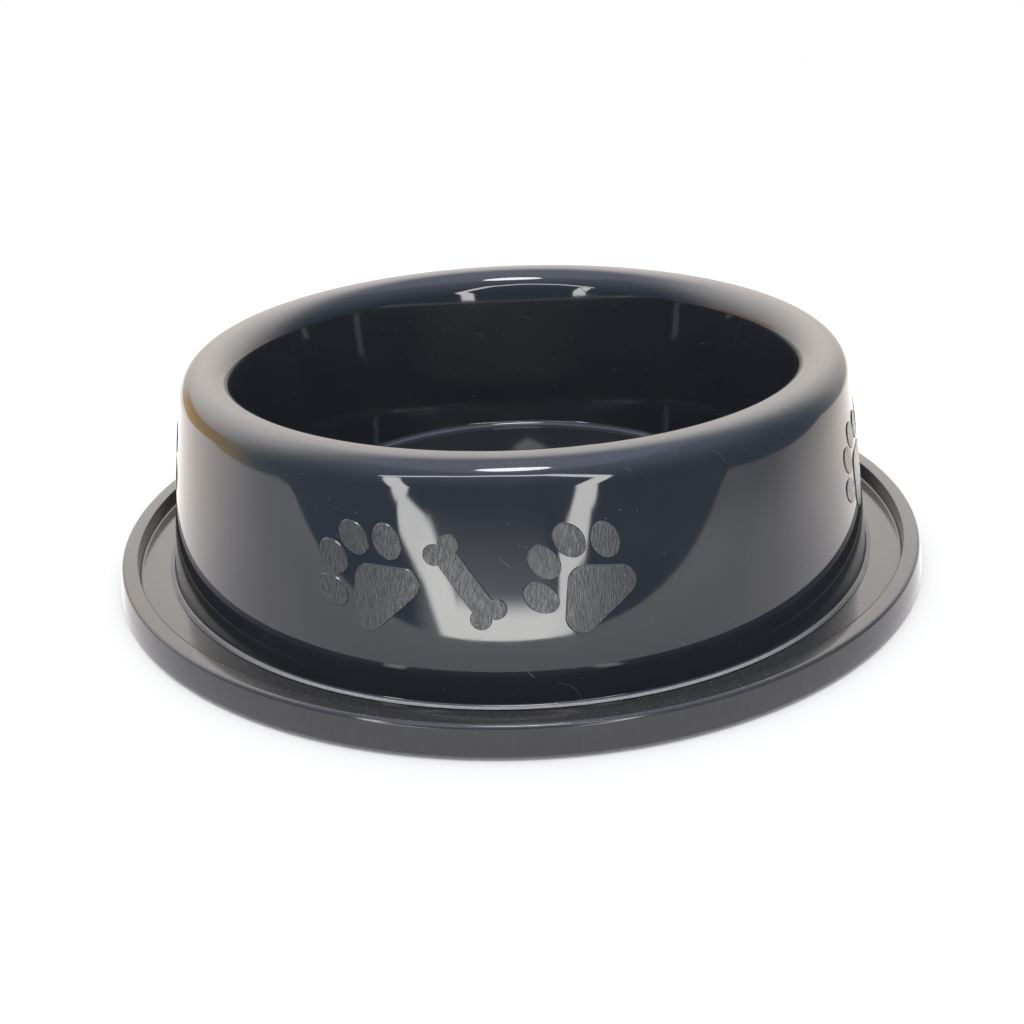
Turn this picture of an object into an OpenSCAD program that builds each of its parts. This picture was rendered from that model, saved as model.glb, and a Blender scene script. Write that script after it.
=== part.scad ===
// Pet feeding bowl with a water moat round its foot that keeps crawling insects off the food.
// Millimetres, +Z up. The axis of the bowl is Z, it rests on the plane z = 0, its front faces -Y.

/* [Bowl] */
// Height of the rim above the surface that the bowl stands on
bowl_h = 65; // [60:0.5:90]
// Diameter of the circle where the rim is highest
crown_d = 186; // [176:1:192]
// Radius of the rim's outer shoulder
shoulder_r = 7.7; // [5:0.1:9]
// Radius of the roll from the rim into the bowl
lip_r = 8.8; // [5:0.1:11]
// Diameter of the outer skirt where it meets the moat floor
skirt_foot_d = 220; // [212:1:232]
// Draft of the bowl's inner wall in degrees
bowl_draft = 8.5; // [2:0.5:10]
// Height of the bowl's floor above the surface that it stands on
bowl_floor_h = 7.6; // [7:0.1:16]
// Radius of the corner between the bowl's floor and its inner wall
bowl_corner_r = 10; // [4:0.5:16]
// Wall thickness of the bowl moulding
bowl_wall = 2.2; // [1.6:0.1:2.8]
// Radius of the small toe that the skirt ends in
toe_r = 1.3; // [0.6:0.1:2.5]
// Thickness of the toe's edge
toe_edge = 0.3; // [0.2:0.05:0.8]

/* [Moat] */
// Clear width of the moat at its floor
moat_w = 10; // [7:0.5:20]
// Depth of the moat below the top of its rim
moat_depth = 5; // [4.6:0.1:12]
// Width of the moat rim across its top
moat_rim_w = 4.7; // [4.4:0.1:8]
// Outward lean of the moat's outer wall in degrees
moat_flare = 11; // [2:1:14]
// Fillet between the moat's floor and its outer wall
moat_corner_r = 0.8; // [0.4:0.1:1.5]
// Rounding of the rim's outer edge
rim_outer_edge = 0.8; // [0.3:0.1:1.4]
// Rounding of the rim's inner edge
rim_inner_edge = 0.5; // [0.2:0.1:0.9]

/* [Tray] */
// Thickness of the tray's plate
tray_plate = 2; // [1.6:0.1:3]
// Thickness of the moat's rim walls
tray_rim_wall = 1.7; // [1.4:0.1:2]
// Gap between the tray's lower edge and the surface below it
tray_clear = 0.9; // [0.3:0.1:1.5]
// Height of the plate's underside above the tray's lower edge
plate_rise = 1; // [0.5:0.1:3]
// Height of the upstand that centres the bowl and keeps moat water out
upstand_h = 8.4; // [6:0.2:14]
// Thickness of the upstand
upstand_wall = 1.8; // [1.4:0.1:2.4]
// Clearance between the upstand's top and the skirt
upstand_gap = 0.4; // [0.3:0.05:0.8]

/* [Screws] */
// Diameter of the circle that the screws stand on
screw_circle_d = 188; // [184:1:190]
// Outer diameter of the screw's thread
screw_d = 2.9; // [2.5:0.1:3.2]
// Length of the screw below its head
screw_l = 12; // [9:0.5:14]
// Diameter of the screw's head
screw_head_d = 5.8; // [5.4:0.1:6.4]
// Height of the screw's head
screw_head_h = 1.8; // [1.4:0.1:2.2]
// Depth of the screw's head above the tray's lower edge
screw_recess = 1.2; // [1:0.1:2]
// Depth of the boss's bore beyond the screw's point
bore_spare = 1; // [0.5:0.1:2]
// Clearance round the thread in its boss, each side
screw_gap = 0.05; // [0.05:0.05:0.1]
// Clearance round the thread in the tray, each side
tray_hole_gap = 0.25; // [0.2:0.05:0.4]
// Clearance round the screw's head in its well, each side
well_gap = 1.1; // [0.6:0.1:1.4]
// Wall thickness of a boss round its thread
boss_wall = 2.3; // [1.8:0.1:2.6]
// Wall thickness of the tray's wells and foot cups
cup_wall = 2; // [1.6:0.1:2.2]
// Thickness of the ribs and webs inside the bowl moulding
rib_t = 1.8; // [1.4:0.1:2.4]
// Height of the webs and bosses above the moat floor
web_h = 20; // [18:1:30]

/* [Feet] */
// Diameter of the circle that the feet stand on
foot_circle_d = 186; // [182:1:188]
// Diameter of a foot
foot_d = 16; // [12:0.5:16]
// Depth of the pocket that a foot is pressed into
foot_pocket = 1; // [0.8:0.1:2]
// Clearance round a foot in its pocket, each side
foot_gap = 0.15; // [0.1:0.05:0.3]
// Chamfer round the foot's lower edge
foot_chamfer = 0.5; // [0.2:0.1:0.8]
// Depth of the shallow dish under the foot
foot_dish = 0.3; // [0.1:0.1:0.5]

/* [Relief] */
// Height that the paw prints and bones stand out from the skirt
relief_h = 0.25; // [0.2:0.05:0.8]
// Number of groups of two paw prints and a bone round the skirt
group_count = 4; // [1:1:5]
// Turn of the whole pattern about the bowl's axis in degrees
group_turn = -4.5; // [-45:0.5:45]
// Angle from the middle of a group to each paw print's pad
paw_angle = 14.5; // [13:0.5:16]
// Angle from the middle of a group to its bone
bone_angle = -3; // [-4:0.5:0]
// Height of a paw print's pad above the moat floor
paw_h = 27.6; // [24:0.1:30]
// Height of the bone's middle above the moat floor
bone_h = 32.2; // [26:0.1:36]
// Lean of the paw prints from upright in degrees, in the flat pattern that is laid round the skirt
paw_lean = 41; // [0:1:60]
// Lean of the bones from upright in degrees
bone_lean = 35; // [0:1:60]
// Distance from the pad's centre to the middle toe prints, along the paw
mid_toe_l = 15; // [13:0.1:16]
// Distance of the middle toe prints from the paw's axis
mid_toe_w = 4; // [3.7:0.1:5]
// Distance from the pad's centre to the outer toe prints, along the paw
outer_toe_l = 8.9; // [7:0.1:10]
// Distance of the outer toe prints from the paw's axis
outer_toe_w = 10.4; // [10:0.1:12]
// Turn of the outer toe prints away from the paw's axis in degrees
outer_toe_turn = 15; // [0:1:30]
// Length of a toe print
toe_print_l = 9.7; // [7:0.1:10.4]
// Width of a toe print
toe_print_w = 7.3; // [5:0.1:7.5]
// Radius of the pad's three corners
pad_corner_r = 4.25; // [3:0.05:4.5]
// Distance between the pad's two rear corner centres
pad_rear_w = 12.5; // [9:0.1:13]
// Distance from the pad's rear corner centres to its front one
pad_front_l = 6.2; // [4:0.1:6.5]
// Overall length of the bone
bone_l = 24.9; // [18:0.1:26]
// Width of the bone's shaft
bone_shaft_w = 6; // [4:0.1:6.5]
// Radius of the bone's four knobs
bone_knob_r = 2.75; // [2.5:0.05:3.2]
// Distance between the two knobs at one end of the bone
bone_knob_gap = 4.5; // [4:0.1:5.2]

/* [Hidden] */

cut = 0.5;          // how far a cutting shape runs past the face that it opens
bed = 0.5;          // how deep the relief is bedded in the skirt
fine = 96;          // sides of a full circle
corner_steps = 12;  // sides of each of the pad's corners
seam_turn = 20;     // keeps the seam of a revolved shape clear of the ribs, bosses and relief

foot_count = 6;            // one node each
screw_count = foot_count;  // a screw stands between each pair of feet

gloss_black = [0.045, 0.05, 0.06];
satin_black = [0.07, 0.07, 0.072];
rubber_black = [0.1, 0.1, 0.1];
zinc_grey = [0.72, 0.72, 0.7];

// Heights
plate_h = tray_clear + plate_rise;
moat_floor_h = plate_h + tray_plate;
rim_top_h = moat_floor_h + moat_depth;
upstand_top_h = moat_floor_h + upstand_h;
cup_top_h = plate_h + foot_pocket + cup_wall;
head_seat_h = tray_clear + screw_recess + screw_head_h;
boss_end_h = head_seat_h + cup_wall;
boss_top_h = moat_floor_h + web_h;
rib_join_h = bowl_floor_h + bowl_corner_r;
rib_top_h = boss_top_h + 0.7 * web_h;

// Radii about the bowl's axis
crown_r = crown_d / 2;
foot_r = skirt_foot_d / 2;
moat_r = foot_r + moat_w;
rim_r = moat_r + moat_rim_w;

// The skirt runs straight from its foot to a tangent on the shoulder
shoulder_c = [crown_r, bowl_h - shoulder_r];
lip_c = [crown_r, bowl_h - lip_r];
foot_to_shoulder = [foot_r - crown_r, shoulder_c[1] - moat_floor_h];
skirt_draft = atan2(foot_to_shoulder[0], foot_to_shoulder[1]) - asin(shoulder_r / norm(foot_to_shoulder));

// Radius of the skirt and of the inner wall at height z, moved into the wall by k
function skirt_at(z, k) =
    crown_r + (shoulder_r - k) / cos(skirt_draft) + (shoulder_c[1] - z) * tan(skirt_draft);
function inner_at(z, k) =
    crown_r - (lip_r - k) / cos(bowl_draft) - (lip_c[1] - z) * tan(bowl_draft);
function rim_at(z, k) = rim_r + (rim_top_h - z) * tan(moat_flare) - k / cos(moat_flare);

corner_c = [inner_at(bowl_floor_h + bowl_corner_r, -bowl_corner_r), bowl_floor_h + bowl_corner_r];
upstand_r = skirt_at(upstand_top_h, bowl_wall) - upstand_gap;
screw_r = screw_circle_d / 2;
boss_r = screw_d / 2 + screw_gap + boss_wall;
well_r = screw_head_d / 2 + well_gap;
foot_cup_r = foot_d / 2 + foot_gap + cup_wall;
web_low_h = min(rib_join_h, boss_top_h - 1.5 * boss_r);
rib_start_r = foot_circle_d / 2 - foot_cup_r;
rib_end_r = upstand_r - upstand_wall - upstand_gap;

screw_step = 360 / screw_count;
foot_step = 360 / foot_count;
group_step = 360 / group_count;

module at(angle, radius) rotate([0, 0, angle]) translate([0, -radius, 0]) children();

module revolved() rotate([0, 0, seam_turn]) rotate_extrude($fn = fine) children();

module at_screws() {
    for (i = [0 : screw_count - 1]) at(i * screw_step, screw_r) children();
}

module at_feet() {
    for (i = [0 : foot_count - 1]) at((i + 0.5) * foot_step, foot_circle_d / 2) children();
}

// ---- Bowl moulding ----

// The bowl's hollow, grown into the wall by k
module bowl_space(k) {
    wall_n = [cos(bowl_draft), -sin(bowl_draft)];
    lip_t = lip_c - (lip_r - k) * wall_n;
    corner_t = corner_c + (bowl_corner_r + k) * wall_n;
    translate(corner_c) circle(r = bowl_corner_r + k, $fn = fine);
    polygon([[0, bowl_floor_h - k], [corner_c[0], bowl_floor_h - k], corner_c, corner_t, lip_t,
             [lip_t[0], bowl_h + cut], [0, bowl_h + cut]]);
    difference() {
        translate([lip_t[0] / 2, lip_t[1]]) square([crown_r - lip_t[0] / 2, bowl_h]);
        translate(lip_c) circle(r = lip_r - k, $fn = fine);
    }
}

// Everything under the bowl's upper surface down to height low, with the surface moved in by k
module bowl_body(k, low) {
    shoulder_t = shoulder_c + (shoulder_r - k) * [cos(skirt_draft), sin(skirt_draft)];
    difference() {
        union() {
            polygon([[0, low], [skirt_at(low, k), low], shoulder_t, shoulder_c, [crown_r, bowl_h - k],
                     [0, bowl_h - k]]);
            intersection() {
                translate(shoulder_c) circle(r = shoulder_r - k, $fn = fine);
                translate([crown_r, low]) square([crown_r, bowl_h]);
            }
        }
        bowl_space(k);
    }
}

module skirt_toe() {
    toe_c = [skirt_at(moat_floor_h + toe_edge + toe_r, -toe_r), moat_floor_h + toe_edge + toe_r];
    difference() {
        polygon([[skirt_at(moat_floor_h, bowl_wall / 2), moat_floor_h], [toe_c[0], moat_floor_h], toe_c,
                 toe_c - (toe_r + bowl_wall / 2) * [cos(skirt_draft), sin(skirt_draft)]]);
        translate(toe_c) circle(r = toe_r, $fn = fine);
    }
}

module bowl_section() {
    difference() {
        bowl_body(0, moat_floor_h);
        bowl_body(bowl_wall, moat_floor_h - cut);
    }
    skirt_toe();
}

// Radial webs that tie the bosses to the bowl's wall, and ribs on that wall that stand on the foot cups
module hollow_ribs() {
    intersection() {
        revolved() bowl_body(bowl_wall / 2, moat_floor_h);
        union() {
            for (i = [0 : screw_count - 1]) at(i * screw_step, 0)
                translate([-rib_t / 2, -screw_r, web_low_h])
                    cube([rib_t, screw_r, boss_top_h - web_low_h]);
            for (i = [0 : foot_count - 1]) at((i + 0.5) * foot_step, 0)
                translate([-rib_t / 2, 0, 0]) rotate([90, 0, 90]) linear_extrude(rib_t)
                    polygon([[-rib_start_r, cup_top_h], [-rib_end_r, cup_top_h],
                             [-rib_end_r, upstand_top_h], [-crown_r, rib_top_h], [0, rib_top_h],
                             [0, rib_join_h], [-rib_start_r, rib_join_h]]);
        }
    }
}

module bosses() {
    at_screws() translate([0, 0, boss_end_h])
        cylinder(r = boss_r, h = boss_top_h - boss_end_h, $fn = fine);
}

module boss_bores() {
    at_screws() translate([0, 0, boss_end_h - cut])
        cylinder(d = screw_d + 2 * screw_gap, h = cut + screw_l - cup_wall + bore_spare, $fn = fine);
}

// An oval of four arcs, long axis along x
module oval(length, width) {
    end_r = 0.4 * width;
    end_x = length / 2 - end_r;
    side_r = (end_x * end_x + width * width / 4 - end_r * end_r) / (width - 2 * end_r);
    side_x = end_x * side_r / (side_r - end_r);
    for (s = [-1, 1]) translate([s * end_x, 0]) circle(r = end_r, $fn = fine);
    intersection() {
        square([2 * side_x, 2 * width], center = true);
        translate([0, side_r - width / 2]) circle(r = side_r, $fn = fine);
        translate([0, width / 2 - side_r]) circle(r = side_r, $fn = fine);
    }
}

// The pad: a triangle with three round corners, its tip along x
module pad() {
    rear_x = -pad_front_l / 4;
    corners = [[rear_x + pad_front_l, 0], [rear_x, pad_rear_w / 2], [rear_x, -pad_rear_w / 2]];
    lean = atan2(pad_rear_w, 2 * pad_front_l);
    starts = [lean - 90, 90 - lean, 180];
    sweeps = [180 - 2 * lean, 90 + lean, 90 + lean];
    polygon([for (c = [0 : 2], i = [0 : corner_steps])
        let (a = starts[c] + sweeps[c] * i / corner_steps)
        corners[c] + pad_corner_r * [cos(a), sin(a)]]);
}

// A paw print with its toes along x: two middle toes and two outer ones that lean away
module paw() {
    pad();
    for (s = [-1, 1]) {
        translate([mid_toe_l, s * mid_toe_w]) oval(toe_print_l, toe_print_w);
        translate([outer_toe_l, s * outer_toe_w]) rotate(s * outer_toe_turn) oval(toe_print_l, toe_print_w);
    }
}

module bone() {
    knob_x = bone_l / 2 - bone_knob_r;
    square([2 * knob_x, bone_shaft_w], center = true);
    for (sx = [-1, 1], sy = [-1, 1])
        translate([sx * knob_x, sy * bone_knob_gap / 2]) circle(r = bone_knob_r, $fn = fine);
}

// Stands a flat motif upright and sends it out through the skirt. The skirt is a cone, so a pattern laid
// round it fans out: each motif turns by its angle times the sine of the draft.
module on_skirt(angle, height, lean) {
    fan = angle * sin(skirt_draft);
    at(angle, inner_at(bowl_h, 0)) translate([0, 0, moat_floor_h + height])
        rotate([90, 0, 0]) linear_extrude(foot_r) rotate(90 + lean - fan) children();
}

module relief() {
    low = moat_floor_h + paw_h / 3;
    high = shoulder_c[1];
    intersection() {
        revolved() polygon([[skirt_at(low, bed), low], [skirt_at(low, -relief_h), low],
                            [skirt_at(high, -relief_h), high], [skirt_at(high, bed), high]]);
        for (i = [0 : group_count - 1]) rotate([0, 0, group_turn + i * group_step]) {
            on_skirt(-paw_angle, paw_h, paw_lean) paw();
            on_skirt(bone_angle, bone_h, bone_lean) bone();
            on_skirt(paw_angle, paw_h, paw_lean) paw();
        }
    }
}

module bowl_shell() {
    color(gloss_black) difference() {
        union() {
            revolved() bowl_section();
            hollow_ribs();
            bosses();
            relief();
        }
        boss_bores();
    }
}

// ---- Moat tray ----

module rim_section() {
    outer_c = [rim_at(rim_top_h - rim_outer_edge, rim_outer_edge), rim_top_h - rim_outer_edge];
    inner_c = [moat_r + rim_inner_edge, rim_top_h - rim_inner_edge];
    flare_n = [cos(moat_flare), sin(moat_flare)];
    difference() {
        union() {
            translate(outer_c) circle(r = rim_outer_edge, $fn = fine);
            translate(inner_c) circle(r = rim_inner_edge, $fn = fine);
            polygon([[moat_r, plate_h], [moat_r, inner_c[1]], inner_c, [inner_c[0], rim_top_h],
                     [outer_c[0], rim_top_h], outer_c, outer_c + rim_outer_edge * flare_n,
                     [rim_at(tray_clear, 0), tray_clear], [moat_r, tray_clear]]);
        }
        polygon([[moat_r - cut, tray_clear - cut], [moat_r - cut, plate_h],
                 [moat_r + tray_rim_wall, plate_h], [moat_r + tray_rim_wall, rim_top_h - tray_rim_wall],
                 [rim_at(rim_top_h - tray_rim_wall, tray_rim_wall), rim_top_h - tray_rim_wall],
                 [rim_at(tray_clear - cut, tray_rim_wall), tray_clear - cut]]);
    }
}

// The fillet in the moat's outer corner
module moat_corner() {
    corner_x = moat_r - moat_corner_r;
    difference() {
        translate([corner_x, moat_floor_h - tray_plate / 2])
            square([moat_corner_r + tray_rim_wall / 2, tray_plate / 2 + moat_corner_r]);
        translate([corner_x, moat_floor_h + moat_corner_r]) circle(r = moat_corner_r, $fn = fine);
    }
}

module tray_section() {
    translate([0, plate_h]) square([moat_r + tray_rim_wall / 2, tray_plate]);
    moat_corner();
    translate([upstand_r - upstand_wall, plate_h]) square([upstand_wall, upstand_top_h - plate_h]);
    rim_section();
}

module moat_tray() {
    color(satin_black) difference() {
        union() {
            revolved() tray_section();
            at_screws() translate([0, 0, plate_h])
                cylinder(r = well_r + cup_wall, h = boss_end_h - plate_h, $fn = fine);
            at_feet() translate([0, 0, plate_h])
                cylinder(r = foot_cup_r, h = cup_top_h - plate_h, $fn = fine);
        }
        at_screws() {
            translate([0, 0, plate_h - cut])
                cylinder(r = well_r, h = head_seat_h - plate_h + cut, $fn = fine);
            cylinder(d = screw_d + 2 * tray_hole_gap, h = boss_end_h + cut, $fn = fine);
        }
        at_feet() translate([0, 0, plate_h - cut])
            cylinder(d = foot_d + 2 * foot_gap, h = foot_pocket + cut, $fn = fine);
    }
}

// ---- Fasteners and feet ----

// A pan-head screw standing on its head, with a plain shank, a point and a cross recess
module screw() {
    head_r = screw_head_d / 2;
    face_r = 0.7 * head_r;
    edge_h = 0.4 * screw_head_h;
    point_l = screw_d;
    recess_w = screw_d / 4;
    recess_h = screw_head_h / 2;
    difference() {
        rotate_extrude($fn = fine)
            polygon([[0, 0], [face_r, 0], [head_r, edge_h], [head_r, screw_head_h],
                     [screw_d / 2, screw_head_h], [screw_d / 2, screw_head_h + screw_l - point_l],
                     [0, screw_head_h + screw_l]]);
        for (a = [0, 90]) rotate([0, 0, a])
            translate([-screw_d / 2, -recess_w / 2, -cut]) cube([screw_d, recess_w, recess_h + cut]);
    }
}

module tray_screws() {
    color(zinc_grey) at_screws() translate([0, 0, head_seat_h - screw_head_h]) screw();
}

module foot(i) {
    r = foot_d / 2;
    dish_r = r / 2;
    top = plate_h + foot_pocket;
    color(rubber_black) at((i - 0.5) * foot_step, foot_circle_d / 2) rotate_extrude($fn = fine)
        polygon([[0, foot_dish], [dish_r, foot_dish], [dish_r + foot_dish, 0], [r - foot_chamfer, 0],
                 [r, foot_chamfer], [r, top], [0, top]]);
}

bowl_shell();
moat_tray();
tray_screws();
foot(1);  // foot_1
foot(2);  // foot_2
foot(3);  // foot_3
foot(4);  // foot_4
foot(5);  // foot_5
foot(6);  // foot_6
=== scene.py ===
import bpy
import math
from mathutils import Matrix, Vector


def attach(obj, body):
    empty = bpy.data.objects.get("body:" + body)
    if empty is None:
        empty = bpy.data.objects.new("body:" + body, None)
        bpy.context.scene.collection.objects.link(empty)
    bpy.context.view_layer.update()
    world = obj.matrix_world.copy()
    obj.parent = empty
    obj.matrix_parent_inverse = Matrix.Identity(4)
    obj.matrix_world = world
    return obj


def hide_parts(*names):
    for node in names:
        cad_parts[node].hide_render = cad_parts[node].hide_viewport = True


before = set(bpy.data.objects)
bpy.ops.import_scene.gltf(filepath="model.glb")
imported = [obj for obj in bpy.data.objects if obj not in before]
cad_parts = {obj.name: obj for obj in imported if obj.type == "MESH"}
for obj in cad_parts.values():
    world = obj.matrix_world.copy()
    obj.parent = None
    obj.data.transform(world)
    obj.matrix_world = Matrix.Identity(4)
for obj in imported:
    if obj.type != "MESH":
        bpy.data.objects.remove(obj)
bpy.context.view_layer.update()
bpy.ops.object.select_all(action="DESELECT")
print("frame loaded:", len(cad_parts), "nodes")

mm = 0.001
sharpAngle = 35  # degrees, edges that turn by more stay sharp


# A section is drawn in the XZ plane, in mm: a point, then lines and arcs

def startPoint(name):
    bpy.ops.object.select_all(action="DESELECT")
    bpy.ops.mesh.primitive_plane_add(size=2 * mm, location=(0, 0, 0))
    piece = bpy.context.active_object
    piece.name = name
    piece.data.name = name
    bpy.ops.object.mode_set(mode="EDIT")
    bpy.ops.mesh.select_mode(type="VERT")
    bpy.ops.mesh.select_all(action="SELECT")
    bpy.ops.mesh.merge(type="CENTER")
    return piece


def startSection(name, x, z):
    piece = startPoint(name)
    bpy.ops.transform.translate(value=(x * mm, 0, z * mm))
    return piece, [x, z]


def lineTo(pen, x, z):
    step = ((x - pen[0]) * mm, 0, (z - pen[1]) * mm)
    bpy.ops.mesh.extrude_region_move(TRANSFORM_OT_translate={"value": step})
    pen[:] = [x, z]


def climb(pen, end, steps):
    # a straight wall in a few equal steps
    start = list(pen)
    for i in range(1, steps + 1):
        lineTo(pen, start[0] + (end[0] - start[0]) * i / steps, start[1] + (end[1] - start[1]) * i / steps)


def arcTo(pen, centre, sweep, steps):
    # sweep in degrees, counted from +x towards +z
    turn = math.radians(sweep)
    bpy.ops.mesh.spin(steps=steps, angle=turn, center=(centre[0] * mm, 0, centre[1] * mm), axis=(0, 1, 0))
    dx, dz = pen[0] - centre[0], pen[1] - centre[1]
    pen[:] = [centre[0] + dx * math.cos(turn) - dz * math.sin(turn),
              centre[1] + dx * math.sin(turn) + dz * math.cos(turn)]


def spinRound(steps):
    bpy.ops.mesh.select_all(action="SELECT")
    bpy.ops.mesh.spin(steps=steps, angle=2 * math.pi, center=(0, 0, 0), axis=(0, 0, 1))
    bpy.ops.mesh.select_all(action="SELECT")
    bpy.ops.mesh.remove_doubles(threshold=0.002 * mm)
    bpy.ops.mesh.dissolve_degenerate(threshold=0.0005 * mm)
    bpy.ops.mesh.select_all(action="SELECT")
    bpy.ops.mesh.normals_make_consistent(inside=False)
    bpy.ops.object.mode_set(mode="OBJECT")
    bpy.ops.object.shade_smooth_by_angle(angle=math.radians(sharpAngle))


def activate(piece):
    bpy.ops.object.select_all(action="DESELECT")
    piece.select_set(True)
    bpy.context.view_layer.objects.active = piece


def applyPlace():
    bpy.ops.object.transform_apply(location=True, rotation=True, scale=True)


def joinAll(pieces, name):
    bpy.ops.object.select_all(action="DESELECT")
    for piece in pieces:
        piece.select_set(True)
    bpy.context.view_layer.objects.active = pieces[0]
    bpy.ops.object.join()
    pieces[0].name = name
    pieces[0].data.name = name
    return pieces[0]


# The tray: the moat with its rim, and the plate that closes the bowl from below.
# Sizes are in mm and angles in degrees, and z = 0 is the ground under the feet.
tray = {
    "floorZ": 3.9, "plateZ": 1.9, "moatR": 120.0, "cornerR": 0.8, "rimTopZ": 8.9, "rimWidth": 4.7,
    "flare": 11.0, "outerEdge": 1.3, "innerEdge": 0.5, "wall": 1.7, "lowZ": 0.9, "lowEdge": 0.25,
    "upstandTopZ": 12.3, "upstandWall": 1.8, "upstandGap": 0.4, "spinSteps": 288,
    # six screws, and six feet halfway between them
    "fixings": 6, "footAngle": 30, "barSides": 64, "overlap": 0.2,
    "screwCircleR": 94.0, "wellR": 4.0, "wellTopZ": 3.9, "wellWall": 2.0, "bossEndZ": 5.9,
    "holeR": 1.7, "holeTopZ": 10,
    "footCircleR": 93.0, "pocketR": 8.15, "pocketTopZ": 2.9, "cupTopZ": 4.9,
}
flare = math.radians(tray["flare"])


def rimAt(z, inward=0.0):
    outer = tray["moatR"] + tray["rimWidth"]
    return outer + (tray["rimTopZ"] - z) * math.tan(flare) - inward / math.cos(flare)


def makeTray():
    t = tray
    # the upstand keeps clear of the skirt's inner face
    upstandR = skirtAt(t["upstandTopZ"], bowl["wall"]) - t["upstandGap"]
    piece, pen = startSection("moatTray", 0, t["floorZ"])
    lineTo(pen, upstandR - t["upstandWall"], t["floorZ"])
    lineTo(pen, upstandR - t["upstandWall"], t["upstandTopZ"])
    lineTo(pen, upstandR, t["upstandTopZ"])
    lineTo(pen, upstandR, t["floorZ"])
    lineTo(pen, t["moatR"] - t["cornerR"], t["floorZ"])
    arcTo(pen, (t["moatR"] - t["cornerR"], t["floorZ"] + t["cornerR"]), 90, 6)
    lineTo(pen, t["moatR"], t["rimTopZ"] - t["innerEdge"])
    arcTo(pen, (t["moatR"] + t["innerEdge"], t["rimTopZ"] - t["innerEdge"]), -90, 6)
    edgeZ = t["rimTopZ"] - t["outerEdge"]
    edge = (rimAt(edgeZ, t["outerEdge"]), edgeZ)
    lineTo(pen, edge[0], t["rimTopZ"])
    arcTo(pen, edge, -(90 - t["flare"]), 8)
    low = (rimAt(t["lowZ"] + t["lowEdge"], t["lowEdge"]), t["lowZ"] + t["lowEdge"])
    climb(pen, (low[0] + t["lowEdge"] * math.cos(flare), low[1] + t["lowEdge"] * math.sin(flare)), 2)
    arcTo(pen, low, -(90 + t["flare"]), 4)
    lineTo(pen, rimAt(t["lowZ"], t["wall"]), t["lowZ"])
    hollowZ = t["rimTopZ"] - t["wall"]
    lineTo(pen, rimAt(hollowZ, t["wall"]), hollowZ)
    lineTo(pen, t["moatR"] + t["wall"], hollowZ)
    lineTo(pen, t["moatR"] + t["wall"], t["plateZ"])
    lineTo(pen, 0, t["plateZ"])
    spinRound(t["spinSteps"])
    return piece


def roundBars(name, startAngle, circleR, radius, lowZ, highZ):
    # short round bars on a circle, joined into one object
    bars = []
    for i in range(tray["fixings"]):
        a = math.radians(startAngle + i * 360 / tray["fixings"])
        bpy.ops.mesh.primitive_cylinder_add(
            vertices=tray["barSides"], radius=radius * mm, depth=(highZ - lowZ) * mm,
            location=(circleR * math.sin(a) * mm, -circleR * math.cos(a) * mm, (lowZ + highZ) / 2 * mm))
        bars.append(bpy.context.active_object)
        applyPlace()
    return joinAll(bars, name)


def boolean(piece, tool, operation):
    activate(piece)
    change = piece.modifiers.new("change", "BOOLEAN")
    change.object = tool
    change.operation = operation
    change.solver = "EXACT"
    bpy.ops.object.modifier_apply(modifier="change")
    bpy.data.objects.remove(tool)


def fitFixings(piece):
    # bosses and cups are added to the plate, then cut out for the screws' heads and shanks and for the feet
    t = tray
    screwR, footR, footAngle = t["screwCircleR"], t["footCircleR"], t["footAngle"]
    bossR, cupR = t["wellR"] + t["wellWall"], t["pocketR"] + t["wellWall"]
    startZ = t["plateZ"] + t["overlap"]
    boolean(piece, roundBars("bosses", 0, screwR, bossR, startZ, t["bossEndZ"]), "UNION")
    boolean(piece, roundBars("cups", footAngle, footR, cupR, startZ, t["cupTopZ"]), "UNION")
    boolean(piece, roundBars("heads", 0, screwR, t["wellR"], 0, t["wellTopZ"]), "DIFFERENCE")
    boolean(piece, roundBars("holes", 0, screwR, t["holeR"], 0, t["holeTopZ"]), "DIFFERENCE")
    boolean(piece, roundBars("pockets", footAngle, footR, t["pocketR"], 0, t["pocketTopZ"]), "DIFFERENCE")
    piece.data.materials.clear()
    piece.data.materials.append(traySatin)
    bpy.ops.object.shade_smooth_by_angle(angle=math.radians(sharpAngle))


# The bowl: a double wall from the inner floor over the rim and down the skirt to the moat's floor
bowl = {
    "height": 65.0, "crownR": 93.0, "shoulderR": 7.7, "lipR": 8.8, "skirtFootR": 110.0,
    "innerDraft": 8.5, "floorZ": 7.6, "cornerR": 2.5, "wall": 2.2,
    "swellR": 300.0, "swellTopZ": 22.0, "swellDeg": 3.05, "toeR": 0.8, "toeEdge": 0.4, "ledgeR": 111.0,
    "spinSteps": 288,
}
skirtRun = bowl["skirtFootR"] - bowl["crownR"]
skirtRise = bowl["height"] - bowl["shoulderR"] - tray["floorZ"]
skirtDraft = math.atan2(skirtRun, skirtRise) - math.asin(bowl["shoulderR"] / math.hypot(skirtRun, skirtRise))
innerDraft = math.radians(bowl["innerDraft"])


def skirtAt(z, inward=0.0):
    reach = (bowl["shoulderR"] - inward) / math.cos(skirtDraft)
    return bowl["crownR"] + reach + (bowl["height"] - bowl["shoulderR"] - z) * math.tan(skirtDraft)


def innerAt(z, inward=0.0):
    reach = (bowl["lipR"] - inward) / math.cos(innerDraft)
    return bowl["crownR"] - reach - (bowl["height"] - bowl["lipR"] - z) * math.tan(innerDraft)


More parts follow.
